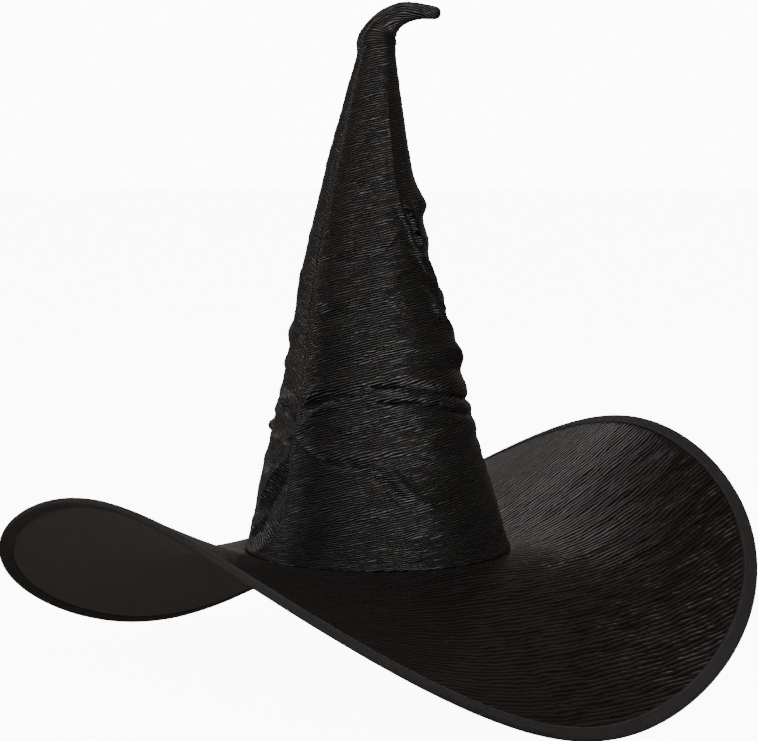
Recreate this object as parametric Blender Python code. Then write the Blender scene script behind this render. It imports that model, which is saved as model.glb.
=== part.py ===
"""Witch hat: a tall crinkled-satin cone with a bendable pointed tip, on a wide, curled, wired brim.

Frame: metres, +Z up, origin at the centre of the head opening, at the middle of the brim's thickness.
+X runs along the brim towards the side that the tip points to, +Y towards the wearer's far side.
Angles round the hat are counted from +X towards +Y.
"""

import bmesh
import bpy
from math import atan2, cos, hypot, pi, radians, sin, sqrt
from mathutils import Vector

MM = 0.001

# ---- crown ----
CROWN_RADIUS = 100.0 * MM  # outside of the cloth, at the brim
CROWN_TOP_Z = 372.0 * MM  # where the cone meets the bend
CROWN_TOP_RADIUS = 14.6 * MM
CROWN_LEAN = 1.0 * MM  # the top sits this far towards -X
CROWN_BOW = 7.4 * MM  # and the middle bows further out
CROWN_BOW_POWER = 1.35  # above 1, the bow is greatest above half height
CROWN_DIP = 2.4 * MM  # how far the wall hollows inwards at half height
CROWN_SIDES = 40
SHELL_WALL = 1.0 * MM
LAYER_GAP = 0.3 * MM
STIFFENER_WALL = 1.0 * MM
STIFFENER_TOP_Z = 150.0 * MM
LINING_WALL = 0.6 * MM
LINING_LOOSE_FROM_Z = 36.0 * MM  # above this the lining hangs free of the wall
LINING_LOOSE_GAP = 6.4 * MM
LINING_TOP_Z = 300.0 * MM
BAND_WALL = 1.0 * MM
BAND_TOP_Z = 30.0 * MM
BAND_BOTTOM_Z = -2.6 * MM
SEAM_ANGLE = radians(221)  # the one seam of the cone
ALLOWANCE_HALF = 5.0 * MM  # of the width of its turned-in edges
ALLOWANCE_NEAR = 1.8 * MM  # from the outside of the cloth to their near and far faces
ALLOWANCE_FAR = 2.6 * MM
ALLOWANCE_LOW_Z = STIFFENER_TOP_Z + 4.0 * MM
WIRE_ANGLE = radians(310)  # the side that the wire runs up

# ---- bend and tip ----
BEND_X = -CROWN_LEAN
BEND_Z = 381.0 * MM
BALL_RADIUS = 15.0 * MM  # the round of the elbow, about the bend axis
SEAT_GAP = 0.6 * MM
SEAT_WALL = 1.0 * MM
SEAT_HOLE_SHARE = 0.2  # the cup reaches from its rim down to this share of the rim's polar angle
SEAT_UNDER_SHARE = 0.72  # and the inside wall meets the cup's underside at this one
SEAT_TO_WALL = 2.0 * MM
THROAT_LIFT = 0.8 * MM  # of the tip's open mouth above the inside of its round end
TIP_WALL = 1.2 * MM
TIP_SIDES = 20
# Rings of the tip: centre x, centre z, radius (mm) and the direction the ring faces (degrees above +X).
TIP_RINGS = (
    (-1.0, 367.4, 6.3, 90),
    (-1.0, 371.4, 11.5, 90),
    (-1.0, 376.5, 14.3, 90),
    (-0.8, 381.2, 15.0, 87),
    (0.8, 385.9, 13.7, 71),
    (3.8, 391.2, 11.8, 55),
    (8.5, 396.9, 10.2, 37),
    (13.2, 400.2, 9.2, 23),
    (20.4, 403.0, 7.6, 9),
    (31.4, 404.6, 5.5, 2),
    (41.6, 404.5, 4.5, -2),
    (44.8, 404.4, 3.2, -2),
    (46.2, 404.3, 1.2, -2),
)
TIP_STUFFING_RINGS = 9  # how far along the tip the stuffing reaches

# ---- wire inside the crown and tip ----
WIRE_RADIUS = 0.6 * MM
WIRE_BORE = 0.9 * MM
CASING_RADIUS = 2.0 * MM
CAP_RADIUS = 1.5 * MM
CAP_LENGTH = 7.0 * MM
CAP_DEPTH = 4.0 * MM
# Outside of a cap: distance from its mouth, and share of its radius.
CAP_PROFILE = ((0.0, 0.86), (0.6 * MM, 1.0), (CAP_LENGTH - 1.2 * MM, 1.0), (CAP_LENGTH, 0.5))
STUFFING_BORE = 1.8 * MM  # the wire's way through the stuffing
CASING_TOP_INSET = 3.0 * MM
WIRE_SIDES = 8
WIRE_LOW_Z = 165.0 * MM
CASING_TOP_Z = 300.0 * MM
WIRE_TOP_Z = 358.0 * MM
PLUG_LOW_Z = 308.0 * MM
PLUG_TOP_Z = 363.0 * MM

# ---- brim ----
BRIM_REACH = 185.6 * MM  # from the crown to the edge, along the cloth
BRIM_MEAN = -11.3 * MM  # height of the edge, averaged round the hat
BRIM_TILT = 7.2 * MM  # the +X side sits higher by this
BRIM_SADDLE = 83.2 * MM  # two high and two low lobes
SADDLE_ANGLE = radians(40.3)
BRIM_TRIPLE = 4.2 * MM  # a slight three-lobed waver
TRIPLE_ANGLE = radians(9.9)
BRIM_CURL = 1.2  # above 1, the brim leaves the crown flatter and curls outwards
BRIM_SIDES = 60
BRIM_STATIONS = (0.0, 32.0 * MM, 72.0 * MM, 112.0 * MM, 148.0 * MM)  # out from the crown
BRIM_INSIDE = -2.5 * MM  # the layers' inner edge, under the crown's wall
CORE_HALF = 0.7 * MM
COVER_LOW = 1.0 * MM
COVER_HIGH = 1.5 * MM
BINDING_WIDTH = 11.0 * MM
BINDING_LOW = 1.8 * MM
BINDING_HIGH = 2.4 * MM
BINDING_ROUND = 1.5 * MM
BINDING_EDGE_WALL = 1.0 * MM
HOOP_RADIUS = 0.5 * MM
HOOP_INSET = 2.4 * MM  # of the wire's middle, from the finished edge
HOOP_GAP_ANGLE = radians(90)  # where the two wire ends meet
SLEEVE_RADIUS = 0.9 * MM
SLEEVE_BORE = 0.72 * MM
SLEEVE_LENGTH = 24.0 * MM
HOOP_STEPS = 60
TAPE_WALL = 0.7 * MM
TAPE_LOW_Z = -1.6 * MM

CROWN_LOW_Z = COVER_HIGH + LAYER_GAP
TINY_STEP = 0.1 * MM  # for slopes taken by difference

BLACK_CRINKLE = (0.012, 0.012, 0.014, 1)
BLACK_LINING = (0.02, 0.019, 0.02, 1)
BLACK_TAPE = (0.03, 0.03, 0.033, 1)
WADDING_WHITE = (0.75, 0.74, 0.71, 1)
FELT_GREY = (0.12, 0.12, 0.125, 1)
WIRE_STEEL = (0.55, 0.55, 0.56, 1)
CAP_PLASTIC = (0.6, 0.6, 0.58, 1)


# ---- the scene and its materials ----
def clear_scene():
    for item in list(bpy.data.objects):
        bpy.data.objects.remove(item, do_unlink=True)


def new_collection(name):
    group = bpy.data.collections.new(name)
    bpy.context.scene.collection.children.link(group)
    return group


def new_material(name, colour, roughness, metallic=0.0):
    material = bpy.data.materials.new(name)
    material.use_nodes = True
    shader = material.node_tree.nodes["Principled BSDF"]
    shader.inputs["Base Color"].default_value = colour
    shader.inputs["Roughness"].default_value = roughness
    shader.inputs["Metallic"].default_value = metallic
    material.diffuse_color = colour
    return material


def loft(name, rings, group, look, looped=False, slants=None):
    """One closed solid through the rings, in order.

    looped: the last ring joins the first. Without it the two ends are capped.
    slants: for each join, which way its four-sided faces are cut in two. Twisted layers that
    lie on each other need the same cuts. Without it the faces stay whole.
    """
    sides = len(rings[0])
    points = [point for ring in rings for point in ring]
    joins = len(rings) if looped else len(rings) - 1
    faces = []
    for i in range(joins):
        here = i * sides
        there = ((i + 1) % len(rings)) * sides
        for k in range(sides):
            n = (k + 1) % sides
            if slants is None:
                faces.append((here + k, here + n, there + n, there + k))
            elif slants[i]:
                faces.append((here + k, here + n, there + k))
                faces.append((here + n, there + n, there + k))
            else:
                faces.append((here + k, here + n, there + n))
                faces.append((here + k, there + n, there + k))
    if not looped:
        faces.append(tuple(reversed(range(sides))))
        faces.append(tuple(range(len(points) - sides, len(points))))
    mesh = bpy.data.meshes.new(name)
    mesh.from_pydata(points, [], faces)
    for face in mesh.polygons:
        face.use_smooth = True
    mesh.materials.append(new_material(name + "_look", *look))
    item = bpy.data.objects.new(name, mesh)
    group.objects.link(item)
    return item


# ---- the crown ----
def crown_radius(z):
    share = z / CROWN_TOP_Z
    return CROWN_RADIUS + (CROWN_TOP_RADIUS - CROWN_RADIUS) * share - CROWN_DIP * sin(pi * share)


def crown_axis_x(z):
    share = min(max(z / CROWN_TOP_Z, 0.0), 1.0)
    return -CROWN_LEAN * share - CROWN_BOW * sin(pi * share**CROWN_BOW_POWER)


def crown_ring(z, inward):
    """A level ring round the crown's axis, this far in from its outside."""
    radius = crown_radius(z) - inward
    turns = [2 * pi * k / CROWN_SIDES for k in range(CROWN_SIDES)]
    return [(crown_axis_x(z) + radius * cos(a), radius * sin(a), z) for a in turns]


def levels(low, high, count):
    return [low + (high - low) * i / (count - 1) for i in range(count)]


def seat_ring(polar, radius):
    """A level ring on a sphere about the bend, this many radians from straight down."""
    turns = [2 * pi * k / CROWN_SIDES for k in range(CROWN_SIDES)]
    across = radius * sin(polar)
    z = BEND_Z - radius * cos(polar)
    return [(BEND_X + across * cos(a), across * sin(a), z) for a in turns]


def build_crown_shell(group):
    """The cone's outer cloth. Its top is a cup that the tip's round end turns in."""
    outside = [crown_ring(z, 0.0) for z in levels(CROWN_LOW_Z, CROWN_TOP_Z, 6)]
    cup_radius = BALL_RADIUS + SEAT_GAP
    rim = atan2(sqrt(cup_radius**2 - (BEND_Z - CROWN_TOP_Z) ** 2), BEND_Z - CROWN_TOP_Z)
    hole = rim * SEAT_HOLE_SHARE
    cup = [seat_ring(polar, cup_radius) for polar in levels(rim, hole, 5)]
    under_radius = cup_radius + SEAT_WALL
    under = [seat_ring(polar, under_radius) for polar in levels(hole, rim * SEAT_UNDER_SHARE, 3)]
    inner_top = BEND_Z - under_radius - SEAT_TO_WALL
    inside = [crown_ring(z, SHELL_WALL) for z in levels(inner_top, CROWN_LOW_Z, 6)]
    return loft("crown_shell", outside + cup + under + inside, group, (BLACK_CRINKLE, 0.45), True)


def build_crown_stiffener(group):
    inward = SHELL_WALL + LAYER_GAP
    outside = [crown_ring(z, inward) for z in levels(CROWN_LOW_Z, STIFFENER_TOP_Z, 3)]
    inside = [crown_ring(z, inward + STIFFENER_WALL) for z in levels(STIFFENER_TOP_Z, CROWN_LOW_Z, 3)]
    return loft("crown_stiffener", outside + inside, group, (FELT_GREY, 0.9), True)


def lining_inward(z):
    tight = SHELL_WALL + STIFFENER_WALL + 2 * LAYER_GAP
    loose = min(max((z - BAND_TOP_Z) / (LINING_LOOSE_FROM_Z - BAND_TOP_Z), 0.0), 1.0)
    return tight + (LINING_LOOSE_GAP - tight) * loose


def build_crown_lining(group):
    """A thin bag, closed at the top and open at the head."""
    heights = [CROWN_LOW_Z, BAND_TOP_Z] + levels(LINING_LOOSE_FROM_Z, LINING_TOP_Z, 4)
    outside = [crown_ring(z, lining_inward(z)) for z in heights]
    inside = [crown_ring(z, lining_inward(z) + LINING_WALL) for z in heights[:-1]]
    roof = crown_ring(LINING_TOP_Z - LINING_WALL, lining_inward(LINING_TOP_Z) + LINING_WALL)
    rings = [roof] + inside[::-1] + outside
    return loft("crown_lining", rings, group, (BLACK_LINING, 0.6))


def build_sweatband(group):
    inward = SHELL_WALL + STIFFENER_WALL + LINING_WALL + 3 * LAYER_GAP
    heights = [BAND_BOTTOM_Z, CROWN_LOW_Z, BAND_TOP_Z - 2 * LAYER_GAP]
    outside = [crown_ring(max(z, CROWN_LOW_Z), inward) for z in heights]
    inside = [crown_ring(max(z, CROWN_LOW_Z), inward + BAND_WALL) for z in heights]
    low_outside = [(x, y, BAND_BOTTOM_Z) for x, y, z in outside[0]]
    low_inside = [(x, y, BAND_BOTTOM_Z) for x, y, z in inside[0]]
    rings = [low_outside] + outside[1:] + inside[:0:-1] + [low_inside]
    return loft("sweatband", rings, group, (BLACK_TAPE, 0.7), True)


def build_seam_allowance(group):
    """The cone's two raw edges, turned in behind the seam and pressed flat over the stiffener's top."""
    corners = ((ALLOWANCE_NEAR, -1), (ALLOWANCE_NEAR, 1), (ALLOWANCE_FAR, 1), (ALLOWANCE_FAR, -1))
    rings = []
    for z in levels(ALLOWANCE_LOW_Z, LINING_TOP_Z, 4):
        ring = []
        for inward, side in corners:
            radius = crown_radius(z) - inward
            angle = SEAM_ANGLE + side * ALLOWANCE_HALF / radius
            ring.append((crown_axis_x(z) + radius * cos(angle), radius * sin(angle), z))
        rings.append(ring)
    return loft("crown_seam_allowance", rings, group, (BLACK_CRINKLE, 0.6))


# ---- the wire and its fittings ----
def wire_point(z):
    """The wire runs up the wall, and comes in to the crown's axis above its casing."""
    wall = crown_radius(z) - SHELL_WALL - LAYER_GAP - CASING_RADIUS
    share = min(max((z - CASING_TOP_Z) / (WIRE_TOP_Z - CASING_TOP_Z), 0.0), 1.0)
    out = wall * (1 - share)
    return Vector((crown_axis_x(z) + out * cos(WIRE_ANGLE), out * sin(WIRE_ANGLE), z))


def ring_across(centre, along, radius, sides=WIRE_SIDES):
    """A ring of this radius, square to the direction."""
    along = along.normalized()
    level = along.cross(Vector((0, 1, 0)))
    first = level.normalized() if abs(along.y) <= 0.9 else along.orthogonal().normalized()
    second = along.cross(first)
    turns = [2 * pi * k / sides for k in range(sides)]
    return [tuple(centre + radius * (cos(a) * first + sin(a) * second)) for a in turns]


def rings_along(path, radius, sides=WIRE_SIDES):
    """Rings along a path. The radius is one number, or one for each point."""
    rings = []
    for i, point in enumerate(path):
        before = path[max(i - 1, 0)]
        after = path[min(i + 1, len(path) - 1)]
        size = radius[i] if isinstance(radius, list) else radius
        rings.append(ring_across(point, after - before, size, sides))
    return rings


def round_ended(path, radius):
    """The path with a short taper at each end, and its radii."""
    first = (path[0] - path[1]).normalized()
    last = (path[-1] - path[-2]).normalized()
    longer = [path[0] + 0.6 * radius * first] + path + [path[-1] + 0.6 * radius * last]
    return longer, [0.5 * radius] + [radius] * len(path) + [0.5 * radius]


def build_spine_wire(group):
    heights = levels(WIRE_LOW_Z, CASING_TOP_Z, 5) + levels(PLUG_LOW_Z, WIRE_TOP_Z, 4)
    path, radii = round_ended([wire_point(z) for z in heights], WIRE_RADIUS)
    return loft("spine_wire", rings_along(path, radii), group, (WIRE_STEEL, 0.3, 1.0))


def build_wire_casing(group):
    """A cloth tube sewn up the inside of the cone, round the wire."""
    low = WIRE_LOW_Z + CAP_LENGTH
    path = [wire_point(z) for z in levels(low, CASING_TOP_Z - CASING_TOP_INSET, 5)]
    outside = rings_along(path, CASING_RADIUS)
    inside = rings_along(path, WIRE_BORE)[::-1]
    return loft("wire_casing", outside + inside, group, (BLACK_TAPE, 0.8), True)


def build_wire_cap(name, end, along, group):
    """A plastic cap pushed over a wire's end. along points out through the cap's closed end."""
    along = along.normalized()
    start = end - CAP_DEPTH * along
    outside = [ring_across(start + s * along, along, CAP_RADIUS * share) for s, share in CAP_PROFILE]
    mouth = ring_across(start, along, WIRE_BORE)
    depth = CAP_DEPTH + 2 * LAYER_GAP
    bottom = ring_across(start + depth * along, along, WIRE_BORE)
    return loft(name, [bottom, mouth] + outside, group, (CAP_PLASTIC, 0.5))


def build_top_plug(group):
    """Wadding that fills the narrow top of the cone, with the wire's way through it."""
    inward = SHELL_WALL + 2 * LAYER_GAP
    heights = levels(PLUG_LOW_Z, WIRE_TOP_Z, 4) + [PLUG_TOP_Z]
    outside = [crown_ring(z, inward) for z in heights]
    inside = []
    for z in reversed(heights):
        centre = wire_point(min(z, WIRE_TOP_Z))
        inside.append(bore_ring(centre, z, STUFFING_BORE))
    return loft("top_wadding", outside + inside, group, (WADDING_WHITE, 0.95), True)


def bore_ring(centre, z, radius):
    turns = [2 * pi * k / CROWN_SIDES for k in range(CROWN_SIDES)]
    return [(centre.x + radius * cos(a), centre.y + radius * sin(a), z) for a in turns]


# ---- the tip ----
def tip_ring(ring, inward):
    """One ring of the tip, across its bent axis."""
    x, z, radius, facing = ring
    centre = Vector((x * MM, 0.0, z * MM))
    ahead = Vector((cos(radians(facing)), 0.0, sin(radians(facing))))
    side = Vector((0.0, 1.0, 0.0))
    up = side.cross(ahead)
    size = radius * MM - inward
    turns = [2 * pi * k / TIP_SIDES for k in range(TIP_SIDES)]
    return [tuple(centre + size * (cos(a) * side + sin(a) * up)) for a in turns]


def build_tip_shell(group):
    """The bent point's cloth, open below where it meets the crown."""
    outside = [tip_ring(ring, 0.0) for ring in TIP_RINGS]
    inside = [tip_ring(ring, TIP_WALL) for ring in TIP_RINGS[:11]]
    throat_z = BEND_Z - BALL_RADIUS + TIP_WALL + THROAT_LIFT
    throat = [(x, y, throat_z) for x, y, z in inside[0]]
    rings = inside[:0:-1] + [throat] + outside
    return loft("tip_shell", rings, group, (BLACK_CRINKLE, 0.45))


def tip_path(first, last):
    return [Vector((x * MM, 0.0, z * MM)) for x, z, radius, facing in TIP_RINGS[first:last]]


def build_tip_wadding(group):
    inward = TIP_WALL + 2 * LAYER_GAP
    chosen = TIP_RINGS[2:TIP_STUFFING_RINGS]
    outside = [tip_ring(ring, inward) for ring in chosen]
    inside = [tip_ring(ring, ring[2] * MM - STUFFING_BORE) for ring in chosen[::-1]]
    return loft("tip_wadding", outside + inside, group, (WADDING_WHITE, 0.95), True)


def build_tip_wire(group):
    path, radii = round_ended(tip_path(2, 10), WIRE_RADIUS)
    return loft("tip_wire", rings_along(path, radii), group, (WIRE_STEEL, 0.3, 1.0))


# ---- the brim ----
def edge_height(angle):
    """Height of the brim's finished edge at this angle round the hat."""
    saddle = BRIM_SADDLE * cos(2 * (angle - SADDLE_ANGLE))
    triple = BRIM_TRIPLE * cos(3 * (angle - TRIPLE_ANGLE))
    return BRIM_MEAN + BRIM_TILT * cos(angle) + saddle + triple


def brim_middle(angle, out):
    """A point in the middle of the brim's thickness, this far out from the crown along the cloth."""
    height = edge_height(angle)
    level_reach = sqrt(BRIM_REACH**2 - (height - BRIM_MEAN) ** 2)
    share = max(out, 0.0) / BRIM_REACH
    radius = CROWN_RADIUS + (share * level_reach if out > 0 else out)
    return Vector((radius * cos(angle), radius * sin(angle), height * share**BRIM_CURL))


def brim_normal(angle, out):
    out = max(out, TINY_STEP)
    turn = TINY_STEP / CROWN_RADIUS
    across = brim_middle(angle, out + TINY_STEP) - brim_middle(angle, out - TINY_STEP)
    round_hat = brim_middle(angle + turn, out) - brim_middle(angle - turn, out)
    return across.cross(round_hat).normalized()


def brim_point(angle, out, above):
    """above is measured square to the brim, from its middle."""
    if out <= 0:
        return brim_middle(angle, out) + Vector((0, 0, above))
    return brim_middle(angle, out) + above * brim_normal(angle, out)


def sweep_round_brim(name, section, group, look):
    """One solid of this (out, above) section all round the brim."""
    rings = []
    for out, above in section:
        turns = [2 * pi * k / BRIM_SIDES for k in range(BRIM_SIDES)]
        rings.append([tuple(brim_point(a, out, above)) for a in turns])
    following = section[1:] + section[:1]
    outward = [after[0] > here[0] for here, after in zip(section, following)]
    return loft(name, rings, group, look, True, outward)


def layer_section(low, high, end):
    outs = [BRIM_INSIDE, *BRIM_STATIONS, BRIM_REACH - BINDING_WIDTH, end]
    return [(out, high) for out in outs] + [(out, low) for out in reversed(outs)]


def build_brim_layers(group):
    cover_end = BRIM_REACH - BINDING_EDGE_WALL - LAYER_GAP
    core_end = BRIM_REACH - HOOP_INSET - SLEEVE_RADIUS - LAYER_GAP
    top = layer_section(COVER_LOW, COVER_HIGH, cover_end)
    under = layer_section(-COVER_HIGH, -COVER_LOW, cover_end)
    core = layer_section(-CORE_HALF, CORE_HALF, core_end)
    return [
        sweep_round_brim("brim_top_cloth", top, group, (BLACK_CRINKLE, 0.45)),
        sweep_round_brim("brim_under_cloth", under, group, (BLACK_LINING, 0.7)),
        sweep_round_brim("brim_stiffener", core, group, (FELT_GREY, 0.9)),
    ]


def build_brim_binding(group):
    """Tape folded over the edge of the three layers."""
    low = BRIM_REACH - BINDING_WIDTH
    bend = BRIM_REACH - BINDING_ROUND
    edge = BRIM_REACH - BINDING_EDGE_WALL
    half = [(low, BINDING_LOW), (low, BINDING_HIGH), (bend, BINDING_HIGH), (BRIM_REACH, BINDING_HIGH / 2)]
    mirrored = [(out, -above) for out, above in reversed(half)]
    section = half + mirrored + [(edge, -BINDING_LOW), (edge, BINDING_LOW)]
    return sweep_round_brim("brim_binding", section, group, (BLACK_TAPE, 0.6))


def hoop_point(angle):
    return brim_point(angle, BRIM_REACH - HOOP_INSET, 0.0)


def build_brim_wire(group):
    """The hoop. Its two ends meet inside the sleeve."""
    radius = hypot(hoop_point(HOOP_GAP_ANGLE).x, hoop_point(HOOP_GAP_ANGLE).y)
    half_gap = LAYER_GAP / radius
    turns = levels(HOOP_GAP_ANGLE + half_gap, HOOP_GAP_ANGLE + 2 * pi - half_gap, HOOP_STEPS + 1)
    path = [hoop_point(a) for a in turns]
    return loft("brim_wire", rings_along(path, HOOP_RADIUS, 6), group, (WIRE_STEEL, 0.3, 1.0))


def build_brim_wire_sleeve(group):
    """A crimped metal tube that joins the hoop's ends."""
    middle = hoop_point(HOOP_GAP_ANGLE)
    path = [middle]
    for side in (-1, 1):
        neighbour = hoop_point(HOOP_GAP_ANGLE + side * 2 * pi / HOOP_STEPS)
        end = middle.lerp(neighbour, 0.5 * SLEEVE_LENGTH / (neighbour - middle).length)
        path.insert(0 if side < 0 else 2, end)
    outside = rings_along(path, SLEEVE_RADIUS)
    inside = rings_along(path, SLEEVE_BORE)[::-1]
    return loft("brim_wire_sleeve", outside + inside, group, (WIRE_STEEL, 0.4, 1.0), True)


def build_join_tape(group):
    """Tape over the raw edges where brim and crown are sewn together, just outside the sweatband."""
    outside = CROWN_RADIUS + BRIM_INSIDE - LAYER_GAP
    rings = []
    for radius, z in (
        (outside, TAPE_LOW_Z),
        (outside, CROWN_LOW_Z - LAYER_GAP),
        (outside - TAPE_WALL, CROWN_LOW_Z - LAYER_GAP),
        (outside - TAPE_WALL, TAPE_LOW_Z),
    ):
        turns = [2 * pi * k / CROWN_SIDES for k in range(CROWN_SIDES)]
        rings.append([(radius * cos(a), radius * sin(a), z) for a in turns])
    return loft("join_tape", rings, group, (BLACK_TAPE, 0.8), True)


def face_outward(item):
    """Turns every face of a closed solid outwards."""
    work = bmesh.new()
    work.from_mesh(item.data)
    bmesh.ops.recalc_face_normals(work, faces=work.faces)
    work.to_mesh(item.data)
    work.free()


def put_origin_on_bend(item):
    bend = Vector((BEND_X, 0.0, BEND_Z))
    for vertex in item.data.vertices:
        vertex.co -= bend
    item.location = bend


def build():
    clear_scene()
    group = new_collection("witch_hat")
    items = [
        build_crown_shell(group),
        build_crown_stiffener(group),
        build_crown_lining(group),
        build_seam_allowance(group),
        build_sweatband(group),
        build_join_tape(group),
        build_spine_wire(group),
        build_wire_casing(group),
        build_top_plug(group),
        *build_brim_layers(group),
        build_brim_binding(group),
        build_brim_wire(group),
        build_brim_wire_sleeve(group),
    ]
    low = wire_point(WIRE_LOW_Z)
    items.append(build_wire_cap("spine_wire_cap", low, low - wire_point(WIRE_LOW_Z + 2 * MM), group))
    tip_items = [build_tip_shell(group), build_tip_wadding(group), build_tip_wire(group)]
    ends = tip_path(8, 10)
    tip_items.append(build_wire_cap("tip_wire_cap", ends[1], ends[1] - ends[0], group))
    for item in items + tip_items:
        face_outward(item)
    for item in tip_items:
        put_origin_on_bend(item)


build()
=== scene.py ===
"""Witch hat, dressed: crinkled satin cone and brim, plain underside, bound edge and the parts inside.

Frame: metres, +Z up, origin at the centre of the head opening.
Angles round the hat run from +X towards +Y.
"""

from collections import namedtuple
from math import cos, pi, radians, sin

import bmesh
import bpy
import numpy as np
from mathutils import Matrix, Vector


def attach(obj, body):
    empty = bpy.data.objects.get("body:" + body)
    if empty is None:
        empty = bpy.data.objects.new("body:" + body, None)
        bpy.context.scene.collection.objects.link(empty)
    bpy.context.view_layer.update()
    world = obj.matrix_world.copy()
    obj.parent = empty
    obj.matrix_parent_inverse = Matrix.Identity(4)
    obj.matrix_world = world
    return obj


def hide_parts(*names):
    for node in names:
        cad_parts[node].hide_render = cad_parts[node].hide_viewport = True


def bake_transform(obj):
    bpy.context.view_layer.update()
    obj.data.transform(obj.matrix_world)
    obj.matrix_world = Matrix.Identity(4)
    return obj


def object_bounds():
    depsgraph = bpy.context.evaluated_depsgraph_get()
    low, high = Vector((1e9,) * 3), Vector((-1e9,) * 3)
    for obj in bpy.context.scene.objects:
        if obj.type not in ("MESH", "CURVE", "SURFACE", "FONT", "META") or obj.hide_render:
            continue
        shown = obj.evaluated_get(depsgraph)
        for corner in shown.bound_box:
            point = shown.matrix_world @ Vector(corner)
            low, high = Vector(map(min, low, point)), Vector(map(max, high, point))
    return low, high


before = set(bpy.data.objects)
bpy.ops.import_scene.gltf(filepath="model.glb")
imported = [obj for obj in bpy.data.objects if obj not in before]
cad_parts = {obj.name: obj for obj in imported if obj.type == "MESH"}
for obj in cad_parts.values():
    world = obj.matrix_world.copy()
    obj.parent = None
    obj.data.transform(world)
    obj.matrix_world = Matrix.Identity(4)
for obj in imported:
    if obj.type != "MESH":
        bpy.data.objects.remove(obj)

CAD_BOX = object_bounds()
MM = 0.001

# A grid over the smooth crown: angle round, centre x and z, radius, facing, and distance from the hem.
Rings = namedtuple("Rings", "angle x z radius facing along")

# ---- crown: the smooth cone under its folds ----
CROWN_RADIUS = 100.0 * MM
CROWN_TOP_Z = 372.0 * MM
CROWN_TOP_RADIUS = 14.6 * MM
CROWN_LEAN = 1.0 * MM
CROWN_BOW = 7.4 * MM
CROWN_BOW_POWER = 1.35
CROWN_DIP = 2.4 * MM
CROWN_LOW_Z = 1.8 * MM
CONE_SINE = 0.2238  # of the cone's half angle
CONE_SLANT = 445.0 * MM  # from the hem to the flat pattern's apex
SEAM_ANGLE = radians(221)
WIRE_ANGLE = radians(308)  # of the ridge that the wire lifts
CASING_ANGLE = radians(310)
GRAIN_AT_SEAM = radians(20)  # the crinkles rise this much to the right of the seam
GRAIN_AT_END = radians(-24)  # and fall this much where they come round to it again
CROWN_ROUND = 348  # points round the cone, and along it
CROWN_ALONG = 276
SETTLE_ROUND = 180  # the same while the cloth settles
SETTLE_ROWS = 150
SETTLE_FRAMES = 24
SETTLE_CAP = 9.0 * MM  # the furthest that settling may move a point
SPARE_MIDDLE = 0.16  # spare length of cloth, as a share of the height, round the deep creases
SPARE_ABOVE = 0.09
FOLD_DEPTH = 1.6  # times the depths listed for the soft folds

# Centre lines of the bent tip: centre x, centre z, radius (mm), direction (degrees above +X).
TIP_RINGS = (
    (-0.8, 376.5, 14.5, 90),
    (-0.8, 381.2, 14.9, 86),
    (0.8, 385.9, 13.9, 71),
    (3.8, 391.2, 12.0, 55),
    (8.5, 396.9, 10.3, 37),
    (13.2, 400.2, 9.2, 23),
    (20.4, 403.2, 8.1, 9),
    (31.4, 404.1, 6.1, 0),
    (41.0, 403.2, 5.2, -5),
    (44.7, 402.8, 4.4, -5),
    (46.5, 402.7, 2.7, -5),
    (47.0, 402.7, 0.3, -5),
)
ELBOW_START = 382.0 * MM  # along the cone
ELBOW_LENGTH = 30.0 * MM
FINGER_FROM = 402.0 * MM  # along the cone, where the crinkles turn to follow the tip
FINGER_GRAIN = radians(-18)

# ---- brim ----
BRIM_REACH = 185.6 * MM
BRIM_MEAN = -11.3 * MM
BRIM_TILT = 7.2 * MM
BRIM_SADDLE = 83.2 * MM
SADDLE_ANGLE = radians(40.3)
BRIM_TRIPLE = 4.2 * MM
TRIPLE_ANGLE = radians(9.9)
BRIM_CURL = 1.2
BRIM_GRAIN = radians(38)  # the way its crinkles run
BRIM_INSIDE = -2.5 * MM
BRIM_ROUND = 720
BRIM_OUT = 130
BRIM_CLOTH_END = BRIM_REACH - 2.0 * MM
BRIM_FELT_END = BRIM_REACH - 3.7 * MM
BRIM_FELT_HALF = 0.55 * MM
TOP_HEIGHT = 1.6 * MM
UNDER_HEIGHT = -1.6 * MM
BINDING_WIDTH = 11.0 * MM
BINDING_FACE = 2.35 * MM  # from the middle of the brim to the tape's face
BINDING_TURN = 1.7 * MM  # radius of its fold round the edge
STITCH_LENGTH = 2.4 * MM
THREAD_RADIUS = 0.22 * MM
STITCH_PITCH = 3.2 * MM

# ---- inside ----
FELT_NEAR = 1.4 * MM  # the interlining's two faces, inward from the cloth
FELT_FAR = 2.3 * MM
FELT_TOP_Z = 150.0 * MM
SEAM_EDGE_WIDTH = 5.0 * MM
SEAM_EDGE_LOW_Z = 154.0 * MM
SEAM_EDGE_TOP_Z = 300.0 * MM
LINING_DEPTH = 300.0 * MM
LINING_GAP = 3.2 * MM  # inward from the cone at the foot, and how much more above
LINING_SLACK = 3.8 * MM
LINING_GATHERS = 17
LINING_ROUND = 240
BAND_TOP_Z = 29.4 * MM
BAND_BOTTOM_Z = -2.6 * MM
RIB_PITCH = 2.4 * MM
CASING_LOW_Z = 172.0 * MM
CASING_TOP_Z = 297.0 * MM
CASING_RADIUS = 1.9 * MM
CASING_WALL = 0.4 * MM
CASING_DEPTH = 3.3 * MM  # from the cone's wall to the wire
STUFFING_BORE = 1.8 * MM
STUFFING_LOW_Z = 308.0 * MM
STUFFING_TOP_Z = 360.0 * MM
JOIN_OUTSIDE = 97.2 * MM
JOIN_LOW_Z = -1.6 * MM
JOIN_HIGH_Z = 1.5 * MM

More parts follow.
